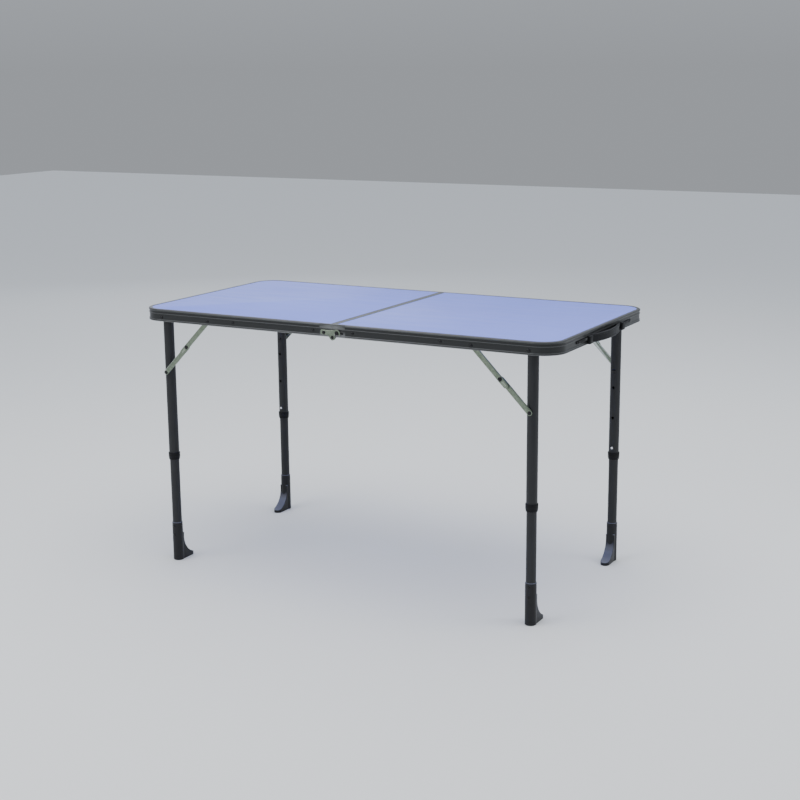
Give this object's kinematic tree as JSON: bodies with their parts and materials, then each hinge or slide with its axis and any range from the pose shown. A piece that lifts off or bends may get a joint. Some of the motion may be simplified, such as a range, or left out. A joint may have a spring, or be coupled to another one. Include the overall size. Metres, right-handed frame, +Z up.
{
  "type": "folding picnic table",
  "caption": "Folding picnic table: two framed board halves hinged at the middle, with folding height-adjustable legs, link braces, seam locks and a carry handle.",
  "frame": {"origin": "on the floor, under the middle of the whole table's bounding box", "axes": "+X along the table towards the end with the carry handle, +Y across it, +Z up"},
  "size_m": [1.22, 0.6072, 0.7],
  "materials": {
    "laminate": "satin laminate",
    "frame_anthracite": "satin anodised look",
    "tube_charcoal": "semi-gloss powder coat",
    "zinc": "zinc plated",
    "mill_aluminium": "mill finish",
    "rivet_black": "black coated steel",
    "black_plastic": "moulded, fine grain",
    "handle_plastic": "moulded, satin",
    "chrome_button": "polished"
  },
  "bodies": {
    "left_half": {"left_board": "laminate", "left_rail": "frame_anthracite", "left_seam_trim": "frame_anthracite", "left_strap": "mill_aluminium", "left_rivets": "rivet_black", "left_pivot_pins": "rivet_black", "left_pivot_spacers": "black_plastic", "left_hinge_leaves": "zinc", "seam_pivots": "rivet_black"},
    "right_half": {"right_board": "laminate", "right_rail": "frame_anthracite", "right_seam_trim": "frame_anthracite", "right_strap": "mill_aluminium", "right_rivets": "rivet_black", "right_pivot_pins": "rivet_black", "right_pivot_spacers": "black_plastic", "right_hinge_leaves": "zinc", "lock_studs": "rivet_black", "carry_handle": "handle_plastic", "handle_screws": "rivet_black"},
    "left_legs": {"left_cross_tube": "tube_charcoal", "left_knuckles": "black_plastic", "left_upper_tubes": "tube_charcoal", "left_collars": "black_plastic", "left_anchors": "rivet_black"},
    "right_legs": {"right_cross_tube": "tube_charcoal", "right_knuckles": "black_plastic", "right_upper_tubes": "tube_charcoal", "right_collars": "black_plastic", "right_anchors": "rivet_black"},
    "lf_lower_leg": {"lf_lower_tube": "tube_charcoal", "lf_boot": "black_plastic", "lf_boot_rivets": "rivet_black"},
    "lf_button": {"lf_button": "chrome_button"},
    "lf_upper_brace": {"lf_upper_link": "zinc", "lf_elbow_rivet": "rivet_black"},
    "lf_lower_brace": {"lf_lower_link": "zinc"},
    "lb_lower_leg": {"lb_lower_tube": "tube_charcoal", "lb_boot": "black_plastic", "lb_boot_rivets": "rivet_black"},
    "lb_button": {"lb_button": "chrome_button"},
    "lb_upper_brace": {"lb_upper_link": "zinc", "lb_elbow_rivet": "rivet_black"},
    "lb_lower_brace": {"lb_lower_link": "zinc"},
    "rf_lower_leg": {"rf_lower_tube": "tube_charcoal", "rf_boot": "black_plastic", "rf_boot_rivets": "rivet_black"},
    "rf_button": {"rf_button": "chrome_button"},
    "rf_upper_brace": {"rf_upper_link": "zinc", "rf_elbow_rivet": "rivet_black"},
    "rf_lower_brace": {"rf_lower_link": "zinc"},
    "rb_lower_leg": {"rb_lower_tube": "tube_charcoal", "rb_boot": "black_plastic", "rb_boot_rivets": "rivet_black"},
    "rb_button": {"rb_button": "chrome_button"},
    "rb_upper_brace": {"rb_upper_link": "zinc", "rb_elbow_rivet": "rivet_black"},
    "rb_lower_brace": {"rb_lower_link": "zinc"},
    "front_hook": {"front_hook": "zinc"},
    "back_hook": {"back_hook": "zinc"}
  },
  "joints": [
    {"name": "half_fold", "type": "hinge", "parent": "left_half", "child": "right_half", "pos_m": [-0.01, 0, 0.667], "axis": [0, 1, 0], "range_deg": [0, 65]},
    {"name": "left_legs_fold", "type": "hinge", "parent": "left_half", "child": "left_legs", "pos_m": [-0.539, 0, 0.6784], "axis": [0, -1, 0], "range_deg": [0, 90]},
    {"name": "right_legs_fold", "type": "hinge", "parent": "right_half", "child": "right_legs", "pos_m": [0.519, 0, 0.6784], "axis": [0, 1, 0], "range_deg": [0, 90]},
    {"name": "lf_leg_height", "type": "slide", "parent": "left_legs", "child": "lf_lower_leg", "axis": [0, 0, 1], "range_m": [0, 0.165], "deforming": ["lf_button"]},
    {"name": "lf_button_press", "type": "slide", "parent": "lf_lower_leg", "child": "lf_button", "axis": [0, -1, 0], "range_m": [0, 0.004], "stiffness_N_per_m": 600, "springref_m": -0.004},
    {"name": "lf_brace_top", "type": "hinge", "parent": "left_half", "child": "lf_upper_brace", "pos_m": [-0.391, -0.2937, 0.6784], "axis": [0, 1, 0], "range_deg": [0, 45.38]},
    {"name": "lf_brace_elbow", "type": "hinge", "parent": "lf_upper_brace", "child": "lf_lower_brace", "pos_m": [-0.465, -0.2888, 0.6034], "axis": [0, -1, 0], "range_deg": [0, 180]},
    {"name": "lb_leg_height", "type": "slide", "parent": "left_legs", "child": "lb_lower_leg", "axis": [0, 0, 1], "range_m": [0, 0.165], "deforming": ["lb_button"]},
    {"name": "lb_button_press", "type": "slide", "parent": "lb_lower_leg", "child": "lb_button", "axis": [0, 1, 0], "range_m": [0, 0.004], "stiffness_N_per_m": 600, "springref_m": -0.004},
    {"name": "lb_brace_top", "type": "hinge", "parent": "left_half", "child": "lb_upper_brace", "pos_m": [-0.391, 0.2937, 0.6784], "axis": [0, 1, 0], "range_deg": [0, 45.38]},
    {"name": "lb_brace_elbow", "type": "hinge", "parent": "lb_upper_brace", "child": "lb_lower_brace", "pos_m": [-0.465, 0.2888, 0.6034], "axis": [0, -1, 0], "range_deg": [0, 180]},
    {"name": "rf_leg_height", "type": "slide", "parent": "right_legs", "child": "rf_lower_leg", "axis": [0, 0, 1], "range_m": [0, 0.165], "deforming": ["rf_button"]},
    {"name": "rf_button_press", "type": "slide", "parent": "rf_lower_leg", "child": "rf_button", "axis": [0, -1, 0], "range_m": [0, 0.004], "stiffness_N_per_m": 600, "springref_m": -0.004},
    {"name": "rf_brace_top", "type": "hinge", "parent": "right_half", "child": "rf_upper_brace", "pos_m": [0.371, -0.2937, 0.6784], "axis": [0, -1, 0], "range_deg": [0, 45.38]},
    {"name": "rf_brace_elbow", "type": "hinge", "parent": "rf_upper_brace", "child": "rf_lower_brace", "pos_m": [0.445, -0.2888, 0.6034], "axis": [0, 1, 0], "range_deg": [0, 180]},
    {"name": "rb_leg_height", "type": "slide", "parent": "right_legs", "child": "rb_lower_leg", "axis": [0, 0, 1], "range_m": [0, 0.165], "deforming": ["rb_button"]},
    {"name": "rb_button_press", "type": "slide", "parent": "rb_lower_leg", "child": "rb_button", "axis": [0, 1, 0], "range_m": [0, 0.004], "stiffness_N_per_m": 600, "springref_m": -0.004},
    {"name": "rb_brace_top", "type": "hinge", "parent": "right_half", "child": "rb_upper_brace", "pos_m": [0.371, 0.2937, 0.6784], "axis": [0, -1, 0], "range_deg": [0, 45.38]},
    {"name": "rb_brace_elbow", "type": "hinge", "parent": "rb_upper_brace", "child": "rb_lower_brace", "pos_m": [0.445, 0.2888, 0.6034], "axis": [0, 1, 0], "range_deg": [0, 180]},
    {"name": "front_hook_lift", "type": "hinge", "parent": "left_half", "child": "front_hook", "pos_m": [-0.033, -0.3012, 0.6784], "axis": [0, -1, 0], "range_deg": [0, 39]},
    {"name": "back_hook_lift", "type": "hinge", "parent": "left_half", "child": "back_hook", "pos_m": [-0.033, 0.3012, 0.6784], "axis": [0, -1, 0], "range_deg": [0, 39]}
  ],
  "couplings": [
    {"joint": "lf_brace_top", "follows": "left_legs_fold", "ratio": 0.50427},
    {"joint": "lf_brace_elbow", "follows": "left_legs_fold", "ratio": 2},
    {"joint": "lb_brace_top", "follows": "left_legs_fold", "ratio": 0.50427},
    {"joint": "lb_brace_elbow", "follows": "left_legs_fold", "ratio": 2},
    {"joint": "rf_brace_top", "follows": "right_legs_fold", "ratio": 0.50427},
    {"joint": "rf_brace_elbow", "follows": "right_legs_fold", "ratio": 2},
    {"joint": "rb_brace_top", "follows": "right_legs_fold", "ratio": 0.50427},
    {"joint": "rb_brace_elbow", "follows": "right_legs_fold", "ratio": 2},
    {"joint": "front_hook_lift", "follows": "half_fold", "ratio": 0.6},
    {"joint": "back_hook_lift", "follows": "half_fold", "ratio": 0.6}
  ]
}
